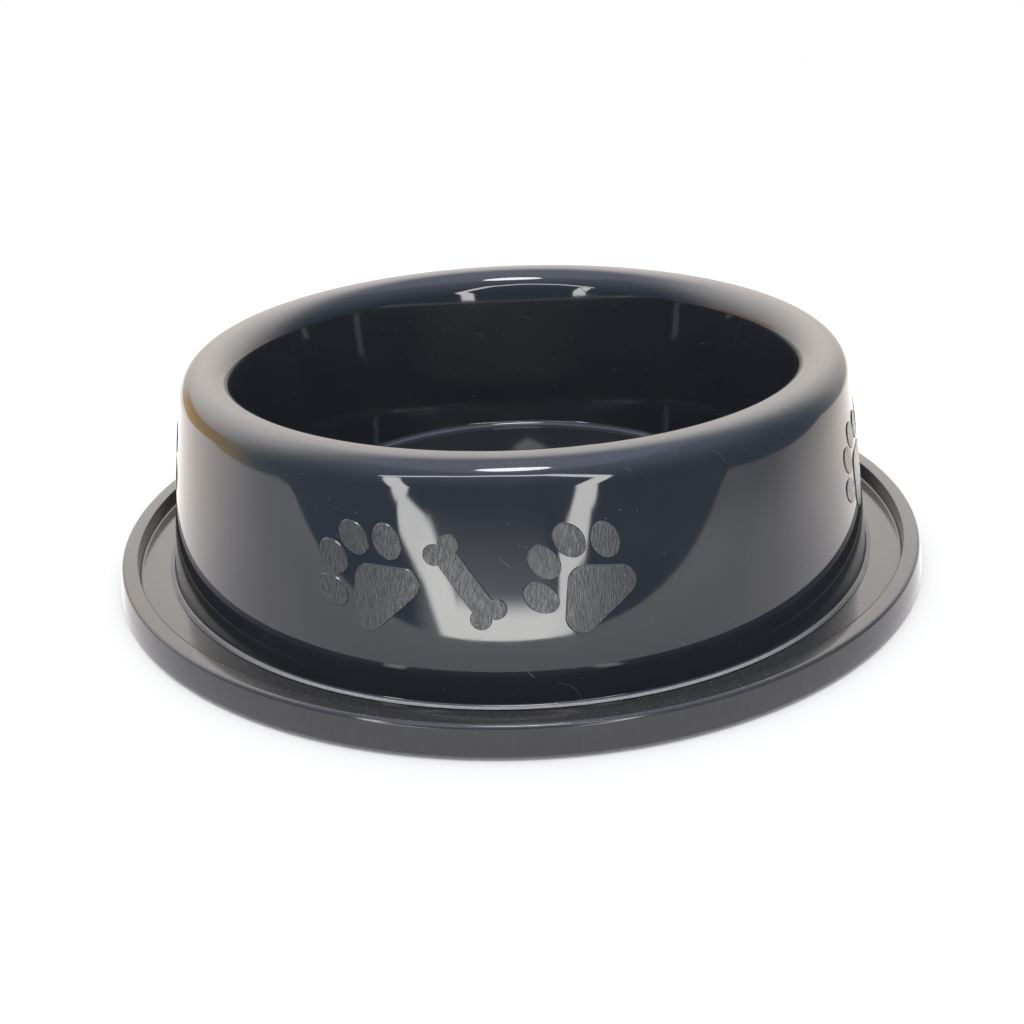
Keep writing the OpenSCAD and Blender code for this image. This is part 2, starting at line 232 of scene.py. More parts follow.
def makeBowl():
    b = bowl
    cornerZ = b["floorZ"] + b["cornerR"]
    corner = (innerAt(cornerZ, -b["cornerR"]), cornerZ)
    lip = (b["crownR"], b["height"] - b["lipR"])
    shoulder = (b["crownR"], b["height"] - b["shoulderR"])
    innerDeg, skirtDeg = b["innerDraft"], math.degrees(skirtDraft)
    wallN = (math.cos(innerDraft), -math.sin(innerDraft))
    piece, pen = startSection("bowlShell", 0, b["floorZ"])
    climb(pen, (corner[0], b["floorZ"]), 3)
    arcTo(pen, corner, 90 - innerDeg, 14)
    climb(pen, (lip[0] - b["lipR"] * wallN[0], lip[1] - b["lipR"] * wallN[1]), 6)
    arcTo(pen, lip, -(90 - innerDeg), 22)
    arcTo(pen, shoulder, -(90 - skirtDeg), 24)
    climb(pen, (skirtAt(b["swellTopZ"]), b["swellTopZ"]), 6)
    # the skirt's foot draws in a little, then a small fillet and a narrow ledge stand on the moat's floor
    swell = (pen[0] - b["swellR"] * math.cos(skirtDraft), pen[1] - b["swellR"] * math.sin(skirtDraft))
    arcTo(pen, swell, -b["swellDeg"], 10)
    lean = skirtDraft - math.radians(b["swellDeg"])
    toeZ = tray["floorZ"] + b["toeEdge"] + b["toeR"]
    drop = pen[1] - toeZ + b["toeR"] * math.sin(lean)
    lineTo(pen, pen[0] + drop * math.tan(lean), pen[1] - drop)
    toe = (pen[0] + b["toeR"] * math.cos(lean), pen[1] + b["toeR"] * math.sin(lean))
    arcTo(pen, toe, 90 - math.degrees(lean), 8)
    lineTo(pen, b["ledgeR"], pen[1])
    lineTo(pen, b["ledgeR"], tray["floorZ"])
    # back up inside the wall
    lineTo(pen, skirtAt(tray["floorZ"], b["wall"]), tray["floorZ"])
    inShoulder = b["shoulderR"] - b["wall"]
    climb(pen, (shoulder[0] + inShoulder * math.cos(skirtDraft),
                shoulder[1] + inShoulder * math.sin(skirtDraft)), 3)
    arcTo(pen, shoulder, 90 - skirtDeg, 8)
    arcTo(pen, lip, 90 - innerDeg, 8)
    outCorner = b["cornerR"] + b["wall"]
    climb(pen, (corner[0] + outCorner * wallN[0], corner[1] + outCorner * wallN[1]), 3)
    arcTo(pen, corner, -(90 - innerDeg), 6)
    lineTo(pen, 0, b["floorZ"] - b["wall"])
    spinRound(b["spinSteps"])
    return piece


def dressBowl(piece):
    # the flat ledge round the foot gets its own material, with a pale film painted at the front as a
    # highlight
    piece.data.materials.append(bowlGloss)
    piece.data.materials.append(footLedge)
    ledgeZ = (tray["floorZ"] + bowl["toeEdge"]) * mm
    for face in piece.data.polygons:
        if abs(face.center.z - ledgeZ) < 0.1 * mm and face.normal.z > 0.9:
            face.material_index = 1


# Paw prints and bones that stand out from the skirt a little
relief = {
    "height": 0.25, "groups": 4, "turn": -4.5, "pawAngle": 14.5, "boneAngle": -3.0,
    "pawZ": 27.6, "boneZ": 32.2, "pawLean": 41.0, "boneLean": 35.0,
    "midToe": (15.0, 4.0), "outerToe": (8.9, 10.4), "outerTurn": 15.0,
    "toeSize": (9.7, 7.3), "toeEnd": 0.4,  # the end arcs' radius as a share of the toe print's width
    "padCornerR": 4.25, "padRearW": 12.5, "padFrontL": 6.2,
    "boneL": 24.9, "shaftW": 6.0, "knobR": 2.75, "knobGap": 4.5,
    "slope": 0.22, "sink": 0.03, "bed": 0.6, "cuts": 3,
    "coneZ": (6.0, 62.0), "coneSides": 2880, "startY": -130,
}


def ovalOutline(length, width):
    endR = relief["toeEnd"] * width
    endX = length / 2 - endR
    sideR = (endX * endX + width * width / 4 - endR * endR) / (width - 2 * endR)
    # angle at the end's centre where the end arc meets the side arc
    meet = math.degrees(math.atan2(sideR - width / 2, endX))
    piece, pen = startSection("outline", endX + endR * math.cos(math.radians(-meet)),
                              endR * math.sin(math.radians(-meet)))
    arcTo(pen, (endX, 0), 2 * meet, 14)
    arcTo(pen, (0, width / 2 - sideR), 180 - 2 * meet, 10)
    arcTo(pen, (-endX, 0), 2 * meet, 14)
    arcTo(pen, (0, sideR - width / 2), 180 - 2 * meet, 10)
    bpy.ops.object.mode_set(mode="OBJECT")
    return piece


def padOutline():
    cornerR = relief["padCornerR"]
    rearX = -relief["padFrontL"] / 4
    sideY = relief["padRearW"] / 2
    corners = [(rearX + relief["padFrontL"], 0), (rearX, sideY), (rearX, -sideY)]
    lean = math.degrees(math.atan2(relief["padRearW"], 2 * relief["padFrontL"]))
    start = math.radians(lean - 90)
    piece, pen = startSection("outline", corners[0][0] + cornerR * math.cos(start),
                              corners[0][1] + cornerR * math.sin(start))
    sweeps = [180 - 2 * lean, 90 + lean, 90 + lean]
    ends = [90 - lean, 180, lean - 90]
    for i in range(3):
        arcTo(pen, corners[i], sweeps[i], 14)
        nextX, nextZ = corners[(i + 1) % 3]
        a = math.radians(ends[i])
        climb(pen, (nextX + cornerR * math.cos(a), nextZ + cornerR * math.sin(a)), 6)
    bpy.ops.object.mode_set(mode="OBJECT")
    return piece


def boneOutline():
    knobR, shaftY = relief["knobR"], relief["shaftW"] / 2
    knobX, knobY = relief["boneL"] / 2 - knobR, relief["knobGap"] / 2
    notch = math.degrees(math.asin(knobY / knobR))
    # where a knob's circle comes down to the shaft's edge
    join = math.degrees(math.asin((shaftY - knobY) / knobR))
    reach = knobR * math.cos(math.radians(join))
    piece, pen = startSection("outline", knobX - reach, shaftY)
    for side in (-1, 1):
        climb(pen, (side * (knobX - reach), -side * shaftY), 16)
        arcTo(pen, (side * knobX, -side * knobY), 180 + notch - join, 16)
        arcTo(pen, (side * knobX, side * knobY), 180 + notch - join, 16)
    bpy.ops.object.mode_set(mode="OBJECT")
    return piece


def placeFlat(piece, turn=0.0, x=0.0, z=0.0):
    # turns a flat outline about Y (from +x towards +z) and moves it, then applies its place
    activate(piece)
    piece.rotation_euler = (0, -math.radians(turn), 0)
    piece.location = (x * mm, 0, z * mm)
    applyPlace()
    return piece


def makeCone():
    # a fine cone that the flat motifs are wrapped onto, deleted afterwards
    lowZ, highZ = relief["coneZ"]
    lowR, highR = (skirtAt(z, -relief["height"]) * mm for z in relief["coneZ"])
    bpy.ops.object.select_all(action="DESELECT")
    bpy.ops.mesh.primitive_cone_add(
        vertices=relief["coneSides"], radius1=lowR, radius2=highR, depth=(highZ - lowZ) * mm,
        end_fill_type="NOTHING", location=(0, 0, (lowZ + highZ) / 2 * mm))
    cone = bpy.context.active_object
    cone.name = "wrapCone"
    applyPlace()
    return cone


def raiseMotif(outline, cone, height, lean):
    # closes a flat outline, gives it a sloped edge and lays it on the skirt at the front
    activate(outline)
    bpy.ops.object.mode_set(mode="EDIT")
    bpy.ops.mesh.select_mode(type="VERT")
    bpy.ops.mesh.select_all(action="SELECT")
    bpy.ops.mesh.remove_doubles(threshold=0.01 * mm)
    bpy.ops.mesh.select_all(action="SELECT")
    bpy.ops.mesh.edge_face_add()
    bpy.ops.mesh.select_mode(type="FACE")
    bpy.ops.mesh.select_all(action="SELECT")
    bpy.ops.mesh.inset(thickness=relief["slope"] * mm, depth=0)
    bpy.ops.object.mode_set(mode="OBJECT")
    # the face that is left selected is the top
    outline.data.materials.append(reliefEdge)
    outline.data.materials.append(reliefSatin)
    for face in outline.data.polygons:
        face.material_index = 1 if face.select else 0
    bpy.ops.object.mode_set(mode="EDIT")
    bpy.ops.mesh.quads_convert_to_tris(quad_method="BEAUTY", ngon_method="BEAUTY")
    bpy.ops.mesh.subdivide(number_cuts=relief["cuts"])
    bpy.ops.object.mode_set(mode="OBJECT")
    placeFlat(outline, 90 + lean, 0, tray["floorZ"] + height)
    outline.location = (0, relief["startY"] * mm, 0)
    applyPlace()
    wrap = outline.modifiers.new("wrap", "SHRINKWRAP")
    wrap.target = cone
    wrap.wrap_method = "PROJECT"
    wrap.use_project_x = False
    wrap.use_project_y = True
    wrap.use_project_z = False
    wrap.use_positive_direction = True
    wrap.use_negative_direction = False
    bpy.ops.object.modifier_apply(modifier="wrap")
    # the outer edge goes back to the skirt, then a hidden wall goes into it
    bpy.ops.object.mode_set(mode="EDIT")
    bpy.ops.mesh.select_mode(type="EDGE")
    bpy.ops.mesh.select_all(action="DESELECT")
    bpy.ops.mesh.select_non_manifold(extend=False)
    bpy.ops.transform.translate(value=(0, (relief["height"] + relief["sink"]) * mm, 0))
    bpy.ops.mesh.extrude_region_move(TRANSFORM_OT_translate={"value": (0, relief["bed"] * mm, 0)})
    bpy.ops.mesh.edge_face_add()
    bpy.ops.mesh.select_all(action="SELECT")
    bpy.ops.mesh.normals_make_consistent(inside=False)
    bpy.ops.object.mode_set(mode="OBJECT")
    return outline


def turned(piece, angle, name):
    # a copy with its own mesh, turned about the bowl's axis
    activate(piece)
    bpy.ops.object.duplicate(linked=False)
    copy = bpy.context.active_object
    copy.name = name
    copy.rotation_euler = (0, 0, math.radians(angle))
    applyPlace()
    return copy


def makeRelief():
    r = relief
    cone = makeCone()
    (midX, midZ), (outerX, outerZ) = r["midToe"], r["outerToe"]
    prints = []
    for side in (-1, 1):
        prints.append(placeFlat(ovalOutline(*r["toeSize"]), 0, midX, side * midZ))
        prints.append(placeFlat(ovalOutline(*r["toeSize"]), side * r["outerTurn"], outerX, side * outerZ))
    flatPaw = joinAll(prints + [padOutline()], "flatPaw")
    flatBone = boneOutline()
    copies = []
    for outline, angle, height, lean in (
            (flatPaw, -r["pawAngle"], r["pawZ"], r["pawLean"]),
            (flatBone, r["boneAngle"], r["boneZ"], r["boneLean"]),
            (flatPaw, r["pawAngle"], r["pawZ"], r["pawLean"])):
        # laid round the cone, a flat pattern fans out by the sine of the draft
        fan = angle * math.sin(skirtDraft)
        motif = raiseMotif(turned(outline, 0, "motif"), cone, height, lean - fan)
        for group in range(r["groups"]):
            copies.append(turned(motif, r["turn"] + group * 360 / r["groups"] + angle, "motifCopy"))
        bpy.data.objects.remove(motif)
    for spare in (flatPaw, flatBone, cone):
        bpy.data.objects.remove(spare)
    return copies


# Materials are drawn from Object coordinates, with their sizes in mm

def newMaterial(name):
    material = bpy.data.materials.new(name)
    material.use_nodes = True
    tree = material.node_tree
    return material, tree, tree.nodes["Principled BSDF"]


def add(tree, kind, **values):
    node = tree.nodes.new(kind)
    for key, value in values.items():
        setattr(node, key, value)
    return node


def plug(tree, source, target):
    tree.links.new(source, target)


def feed(tree, socket, value):
    # a socket takes either another node's output or a plain value
    if hasattr(value, "is_linked"):
        plug(tree, value, socket)
    else:
        socket.default_value = value


def maths(tree, operation, a, b):
    node = add(tree, "ShaderNodeMath", operation=operation)
    feed(tree, node.inputs[0], a)
    feed(tree, node.inputs[1], b)
    return node.outputs[0]


def vectorMaths(tree, operation, a, b):
    node = add(tree, "ShaderNodeVectorMath", operation=operation)
    feed(tree, node.inputs[0], a)
    feed(tree, node.inputs[1], b)
    return node.outputs["Value" if operation in ("DOT_PRODUCT", "DISTANCE") else "Vector"]


def scaled(tree, vector, factor):
    node = add(tree, "ShaderNodeVectorMath", operation="SCALE")
    feed(tree, node.inputs[0], vector)
    feed(tree, node.inputs["Scale"], factor)
    return node.outputs["Vector"]


def mapped(tree, source, low, high, smooth=False, toLow=0.0, toHigh=1.0):
    node = add(tree, "ShaderNodeMapRange", interpolation_type="SMOOTHSTEP" if smooth else "LINEAR")
    for key, value in (("From Min", low), ("From Max", high), ("To Min", toLow), ("To Max", toHigh)):
        node.inputs[key].default_value = value
    plug(tree, source, node.inputs["Value"])
    return node.outputs["Result"]


def between(tree, mask, low, high):
    # a value that goes from low to high where the mask goes from 0 to 1
    return mapped(tree, mask, 0, 1, False, low, high)


def mixed(tree, factor, a, b):
    node = add(tree, "ShaderNodeMix", data_type="RGBA")
    for key, value in (("Factor", factor), ("A", a), ("B", b)):
        # colour inputs come after the number and vector ones of the same name
        socket = [s for s in node.inputs if s.name == key and s.enabled][0]
        feed(tree, socket, (*value, 1) if isinstance(value, tuple) else value)
    return [s for s in node.outputs if s.enabled][0]


def ramp(tree, source, stops):
    node = add(tree, "ShaderNodeValToRGB")
    elements = node.color_ramp.elements
    while len(elements) < len(stops):
        elements.new(0.5)
    for element, (at, colour) in zip(elements, stops):
        element.position = at
        element.color = (*colour, 1) if isinstance(colour, tuple) else (colour, colour, colour, 1)
    plug(tree, source, node.inputs["Fac"])
    return node.outputs["Color"]


def coordinates(tree):
    return add(tree, "ShaderNodeTexCoord").outputs["Object"]


def axesOf(tree, vector):
    node = add(tree, "ShaderNodeSeparateXYZ")
    plug(tree, vector, node.inputs[0])
    return node.outputs


def noise(tree, place, size, detail=2.0, roughness=0.5, stretch=(1, 1, 1)):
    # size is how big the blotches are, in mm
    node = add(tree, "ShaderNodeTexNoise")
    node.inputs["Scale"].default_value = 1.0
    node.inputs["Detail"].default_value = detail
    node.inputs["Roughness"].default_value = roughness
    cells = vectorMaths(tree, "MULTIPLY", place, tuple(k / (size * mm) for k in stretch))
    plug(tree, cells, node.inputs["Vector"])
    return node.outputs["Fac"]


def patches(tree, place, spec, stretch=(1, 1, 1), smooth=False):
    # a noise as a mask: size, detail, roughness, and the two levels where it reaches 0 and 1
    size, detail, roughness, low, high = spec
    return mapped(tree, noise(tree, place, size, detail, roughness, stretch), low, high, smooth)


def specks(tree, place, spec):
    # round dots: the cells' size, the dots' radius, and the share of cells that have one
    cell, radius, share = spec
    node = add(tree, "ShaderNodeTexVoronoi")
    node.inputs["Scale"].default_value = 1.0 / (cell * mm)
    plug(tree, place, node.inputs["Vector"])
    # each fades out between 0.6 and 1.2 of its radius
    dot = mapped(tree, node.outputs["Distance"], 1.2 * radius / cell, 0.6 * radius / cell, True)
    split = add(tree, "ShaderNodeSeparateColor")
    plug(tree, node.outputs["Color"], split.inputs[0])
    chosen = maths(tree, "GREATER_THAN", split.outputs[0], 1.0 - share)
    return maths(tree, "MULTIPLY", dot, chosen)


scratch = {
    "bend": 13.0, "sway": 0.9, "width": 0.06, "core": 0.3, "gap": 17.0, "across": (0.6, 0.5, 0.62),
    "length": 8.0, "kept": 0.68, "fade": 0.02, "colour": (0.11, 0.11, 0.115),
}


def scratches(tree, place):
    # short curved lines: evenly spaced sheets, swayed by a noise and kept only where another is high
    s = scratch
    bend = add(tree, "ShaderNodeTexNoise")
    bend.inputs["Scale"].default_value = 1.0
    bend.inputs["Detail"].default_value = 1.0
    plug(tree, scaled(tree, place, 1 / (s["bend"] * mm)), bend.inputs["Vector"])
    swayed = vectorMaths(tree, "ADD", place, scaled(tree, bend.outputs["Color"], s["sway"] * s["bend"] * mm))
    sheets = vectorMaths(tree, "DOT_PRODUCT", swayed, tuple(k / (s["gap"] * mm) for k in s["across"]))
    width = s["width"] / s["gap"]
    line = mapped(tree, maths(tree, "PINGPONG", sheets, 0.5), width, s["core"] * width, True)
    kept = mapped(tree, noise(tree, place, s["length"], 0.0), s["kept"], s["kept"] + s["fade"])
    return maths(tree, "MULTIPLY", line, kept)


def bump(tree, height, depth):
    # depth in mm for a height of 1
    node = add(tree, "ShaderNodeBump")
    node.inputs["Distance"].default_value = depth * mm
    plug(tree, height, node.inputs["Height"])
    return node.outputs["Normal"]


gloss = {
    "base": (0.0215, 0.0232, 0.0295), "haze": (0.0245, 0.0262, 0.032),
    "cloud": (24.0, 3.0, 0.5, 0.35, 0.65),
    "roughness": (0.035, 0.06), "edgeRoughness": (0.17, 0.22), "ledgeRoughness": (0.35, 0.45),
    "wiped": (7.0, 4.0, 0.6, 0.3, 0.7), "markRoughness": 0.5, "ior": 1.57,
    "waveSize": 30.0, "waveDepth": 0.05, "specks": (2.6, 0.12, 0.8), "speckColour": (0.2, 0.2, 0.205),
    # a pale grainy film that lies thickest at the front: painted highlight along the foot
    "sheenFilm": (0.75, 0.75, 0.76), "sheenFilmY": (-62.0, -102.0), "sheenFilmGrain": (1.0, 4.0, 0.7, 0.35, 0.65),
    "sheenFilmThin": 0.7, "ledgeSheenFilm": 0.6,
}


def makeGloss(name, roughness, sheenFilm=0.0):
    # the last argument is how much of the surface the pale film hides, a painted highlight
    g = gloss
    material, tree, shader = newMaterial(name)
    place = coordinates(tree)
    dots = specks(tree, place, g["specks"])
    lines = scratches(tree, place)
    colour = mixed(tree, patches(tree, place, g["cloud"]), g["base"], g["haze"])
    if sheenFilm:
        # painted highlight: the pale film is laid on thickest towards the front
        start, full = g["sheenFilmY"]
        front = mapped(tree, axesOf(tree, place)["Y"], start * mm, full * mm, True)
        grain = between(tree, patches(tree, place, g["sheenFilmGrain"]), g["sheenFilmThin"] * sheenFilm, sheenFilm)
        colour = mixed(tree, maths(tree, "MULTIPLY", grain, front), colour, g["sheenFilm"])
    colour = mixed(tree, lines, colour, scratch["colour"])
    plug(tree, mixed(tree, dots, colour, g["speckColour"]), shader.inputs["Base Color"])
    smooth = between(tree, patches(tree, place, g["wiped"]), *roughness)
    marks = maths(tree, "MULTIPLY", maths(tree, "MAXIMUM", dots, lines), g["markRoughness"])
    plug(tree, maths(tree, "MAXIMUM", smooth, marks), shader.inputs["Roughness"])
    shader.inputs["IOR"].default_value = g["ior"]
    plug(tree, bump(tree, noise(tree, place, g["waveSize"], 1.0), g["waveDepth"]), shader.inputs["Normal"])
    return material


# The motifs' tops are ground with fine upright grooves
satin = {
    "low": (0.022, 0.022, 0.025), "high": (0.064, 0.064, 0.069), "lowRoughness": 0.33, "highRoughness": 0.23,
    "ior": 1.5, "grooves": (0.38, 2.0, 0.5, 0.34, 0.62), "grooveLength": 11.0, "grooveDepth": 0.032,
}


def makeSatin():
    s = satin
    material, tree, shader = newMaterial("reliefSatin")
    stretch = (1, 1, s["grooves"][0] / s["grooveLength"])
    cut = patches(tree, coordinates(tree), s["grooves"], stretch, True)
    plug(tree, mixed(tree, cut, s["low"], s["high"]), shader.inputs["Base Color"])
    plug(tree, between(tree, cut, s["lowRoughness"], s["highRoughness"]), shader.inputs["Roughness"])
    shader.inputs["IOR"].default_value = s["ior"]
    plug(tree, bump(tree, cut, s["grooveDepth"]), shader.inputs["Normal"])
    return material


# The tray has a fine grain, dusty where it faces up and streaked on its upright walls
trayLook = {
    "base": (0.039, 0.039, 0.041), "light": (0.043, 0.043, 0.045), "dust": (0.19, 0.185, 0.185),
    "roughness": (0.085, 0.12), "wiped": (9.0, 4.0, 0.6, 0.3, 0.7), "ior": 1.5, "specks": (2.4, 0.14, 0.2),
    "up": (0.6, 0.9), "grain": (0.5, 3.0, 0.7), "fleck": (0.58, 0.74), "grainDepth": 0.012, "wallGrain": 0.2,
    "streaks": (1.2, 2.0, 0.5, 0.4, 0.75), "streakLength": 14.0,
}


def makeTrayLook():
    t = trayLook
    material, tree, shader = newMaterial("traySatin")
    place = coordinates(tree)
    facing = add(tree, "ShaderNodeNewGeometry").outputs["Normal"]
    up = mapped(tree, axesOf(tree, facing)["Z"], *t["up"], True)
    grain = noise(tree, place, *t["grain"])
    streaks = patches(tree, place, t["streaks"], (1, 1, t["streaks"][0] / t["streakLength"]))
    wall = mixed(tree, streaks, t["base"], t["light"])
    flat = mixed(tree, mapped(tree, grain, *t["fleck"], True), t["base"], t["dust"])
    colour = mixed(tree, specks(tree, place, t["specks"]), mixed(tree, up, wall, flat), t["dust"])
    plug(tree, colour, shader.inputs["Base Color"])
    plug(tree, between(tree, patches(tree, place, t["wiped"]), *t["roughness"]), shader.inputs["Roughness"])
    shader.inputs["IOR"].default_value = t["ior"]
    height = maths(tree, "MULTIPLY", grain, between(tree, up, t["wallGrain"], 1.0))
    plug(tree, bump(tree, height, t["grainDepth"]), shader.inputs["Normal"])
    return material


rubber = {
    "low": (0.017, 0.017, 0.018), "high": (0.03, 0.03, 0.03), "cloud": (1.5, 4.0, 0.6, 0.3, 0.7),
    "roughness": (0.6, 0.8), "grainSize": 0.4, "grainDepth": 0.02,
}
zinc = {
    "low": (0.46, 0.46, 0.44), "high": (0.62, 0.62, 0.6), "cloud": (0.8, 3.0, 0.6, 0.3, 0.7),
    "roughness": (0.28, 0.42),
}


def makeCloudy(name, look):
    material, tree, shader = newMaterial(name)
    cloud = patches(tree, coordinates(tree), look["cloud"])
    plug(tree, mixed(tree, cloud, look["low"], look["high"]), shader.inputs["Base Color"])
    plug(tree, between(tree, cloud, *look["roughness"]), shader.inputs["Roughness"])
    return material, shader


def makeRubber():
    material, shader = makeCloudy("footRubber", rubber)
    tree = material.node_tree
    grain = noise(tree, coordinates(tree), rubber["grainSize"])
    plug(tree, bump(tree, grain, rubber["grainDepth"]), shader.inputs["Normal"])
    return material


def makeZinc():
    material, shader = makeCloudy("screwZinc", zinc)
    shader.inputs["Metallic"].default_value = 1.0
    return material


bowlGloss = makeGloss("bowlGloss", gloss["roughness"])
reliefEdge = makeGloss("reliefEdge", gloss["edgeRoughness"])
# the foot's ledge: a rougher gloss with the pale film of painted highlight at its front
footLedge = makeGloss("footLedge", gloss["ledgeRoughness"], gloss["ledgeSheenFilm"])
reliefSatin = makeSatin()
traySatin = makeTrayLook()
footRubber = makeRubber()
screwZinc = makeZinc()
print("materials made")

bowlPiece = makeBowl()
dressBowl(bowlPiece)
print("bowl spun:", len(bowlPiece.data.polygons), "faces")
bowlPiece = joinAll([bowlPiece] + makeRelief(), "bowlShell")
print("relief laid on:", len(bowlPiece.data.polygons), "faces")
trayPiece = makeTray()
fitFixings(trayPiece)
print("tray spun:", len(trayPiece.data.polygons), "faces")

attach(bowlPiece, "root")
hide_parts("bowl_shell")
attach(trayPiece, "root")
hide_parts("moat_tray")
nodeLooks = {"bowl_shell": bowlGloss, "moat_tray": traySatin, "tray_screws": screwZinc}
for name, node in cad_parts.items():
    node.data.materials.clear()
    node.data.materials.append(nodeLooks.get(name, footRubber))


# Place in mm, lens and sensor in mm, angles in degrees
shot = {
    "place": (0.0, -366.44, 175.88), "pitch": 24.816, "yaw": -0.333, "roll": -2.400,
    "lens": 43.466, "sensor": 36, "clip": (10, 50000),
}


def makeCamera():
    pitch, yaw, roll = (math.radians(shot[k]) for k in ("pitch", "yaw", "roll"))
    ahead = Vector((math.sin(yaw) * math.cos(pitch), math.cos(yaw) * math.cos(pitch), -math.sin(pitch)))
    right = ahead.cross(Vector((0, 0, 1))).normalized()
    up = right.cross(ahead)
    tiltedRight = right * math.cos(roll) + up * math.sin(roll)
    tiltedUp = up * math.cos(roll) - right * math.sin(roll)
    bpy.ops.object.camera_add()
    camera = bpy.context.active_object
    camera.name = "mainView"
    camera.data.lens = shot["lens"]
    camera.data.sensor_width = shot["sensor"]
    camera.data.clip_start, camera.data.clip_end = (c * mm for c in shot["clip"])
    place = Matrix((tiltedRight, tiltedUp, -ahead)).transposed().to_4x4()
    place.translation = Vector(shot["place"]) * mm
    camera.matrix_world = place
    bpy.context.scene.camera = camera


makeCamera()
print("camera placed")

# Colours of the surroundings by elevation in degrees, as glossy surfaces show them
surroundings = {
    # a ramp's colours stop at 1, so they are divided by this and the light is made as much stronger
    "scale": 4.0,
    "back": [(-90, (0.8, 0.78, 0.72)), (-6, (0.95, 0.92, 0.87)), (0, (1.2, 1.13, 1.05)),
             (10, (1.65, 1.53, 1.42)), (20, (2.35, 2.2, 2.08)), (30, (2.95, 2.8, 2.7)),
             (40, (3.65, 3.5, 3.42)), (48, (3.8, 3.65, 3.6)), (55, (3.5, 3.4, 3.45)),
             (61, (2.4, 2.3, 2.4)), (67, (1.3, 1.27, 1.45)), (75, (1.05, 1.07, 1.3)),
             (90, (1.7, 1.7, 1.95))],
    "front": [(-90, (0.1, 0.13, 0.2)), (-4, (0.14, 0.2, 0.35)), (10, (0.2, 0.27, 0.43)),
              (25, (0.33, 0.41, 0.6)), (40, (0.57, 0.65, 0.85)), (55, (0.77, 0.86, 1.12)),
              (65, (1.35, 1.43, 1.98)), (80, (1.5, 1.58, 2.02)), (90, (1.6, 1.65, 1.95))],
    # how much of the back shows, by how far the direction points back, from -1 to 1
    "share": [(-0.1, 0.0), (0.1, 0.12), (0.18, 0.22), (0.3, 0.42), (0.45, 0.72), (0.6, 0.88), (0.75, 1.0)],
    "shareLean": -0.25,
    # the dim part low on the right, by how far the direction points right and up
    "rightDim": 0.85, "dimRight": (0.25, 0.75), "dimUp": (0.75, 0.2),
    # a warm patch low on the left: azimuth, elevation, half its width and height in degrees, and
    # how far out it fades, where 1 is its edge
    "warm": {"azimuth": -116, "elevation": -2, "width": 25, "height": 11, "colour": (1.37, 0.91, 0.42),
             "backEnd": (-1.25, -0.85), "frontEnd": (1.05, 0.25), "edge": (1.08, 0.9)},
    # what lights the rough surfaces, from below to above
    "soft": [(0.0, (0.55, 0.55, 0.55)), (0.5, (0.85, 0.86, 0.87)), (1.0, (0.97, 0.97, 0.97))],
}
# The pale board that the bowl stands on, with its front edge close to the bowl
board = {
    "edge": [(-455, -150), (-432, -181), (-110, -205), (245, -231), (475, -247), (436, -132), (374, 2),
             (328, 100), (300, 160), (350, 240), (780, 1000), (780, 1500), (-780, 1500), (-780, 1000),
             (-350, 240), (-300, 155), (-344, 74), (-398, -25)],
    "drop": 0.3, "colour": (0.87, 0.87, 0.86), "seen": (0.975, 0.975, 0.975), "roughness": 0.8,
    # painted light: the level it glows at in glossy pieces, from its front to its back
    "level": [(-200, (1.34, 1.37, 1.4)), (-140, (1.18, 1.18, 1.24)), (-90, (1.24, 1.22, 1.28)),
              (-20, (1.7, 1.6, 1.58)), (40, (1.82, 1.69, 1.58))],
    # painted shade: that glow dims towards its right edge
    "dimX": (200, 400), "dimRest": 0.58,
}
# A bright window frame in front of the bowl: strips in the plane y, each from one point (x, z) to the next
window = {
    "y": -450.0, "low": (-700, -160), "high": (500, 640), "level": 8.7, "colour": (1.0, 0.995, 0.955),
    "strips": [
        {"from": (-346, 290), "to": (-292, 48), "half": 33, "soft": 9},
        {"from": (-278, 8), "to": (-206, -12), "half": 19, "soft": 8},
        {"from": (-206, -12), "to": (-155, -42), "half": 20, "soft": 12},
        {"from": (-155, -48), "to": (86, -46), "half": 18, "soft": 14},
        {"from": (84, -46), "to": (92, -12), "half": 13, "soft": 8},
        {"from": (96, -10), "to": (128, 8), "half": 17, "soft": 7},
        {"from": (128, 8), "to": (146, 30), "half": 20, "soft": 7},
        {"from": (152, 40), "to": (194, 160), "half": 26, "soft": 9},
        {"from": (-389, 343), "to": (-228, 430), "half": 24, "soft": 8},
        {"from": (-228, 430), "to": (-60, 455), "half": 24, "soft": 8},
        {"from": (-60, 455), "to": (84, 389), "half": 24, "soft": 8},
        {"from": (84, 389), "to": (205, 190), "half": 24, "soft": 8},
    ],
    # a faint haze along its sill
    "glow": {"from": (-190, -40), "to": (30, -40), "half": 38, "soft": 60, "level": 1.15},
}
ceilingLamp = {"centre": (-30, -765, 1911), "size": (600, 440), "level": 16.5}


def rampColour(colour):
    return tuple(c / surroundings["scale"] for c in colour)


def newPlane(name, corners):
    # a flat face drawn corner by corner
    plane = startPoint(name)
    here = Vector(corners[0])
    bpy.ops.transform.translate(value=here * mm)
    for corner in corners[1:]:
        bpy.ops.mesh.extrude_region_move(TRANSFORM_OT_translate={"value": (Vector(corner) - here) * mm})
        here = Vector(corner)
    bpy.ops.mesh.select_all(action="SELECT")
    bpy.ops.mesh.edge_face_add()
    bpy.ops.object.mode_set(mode="OBJECT")
    return plane


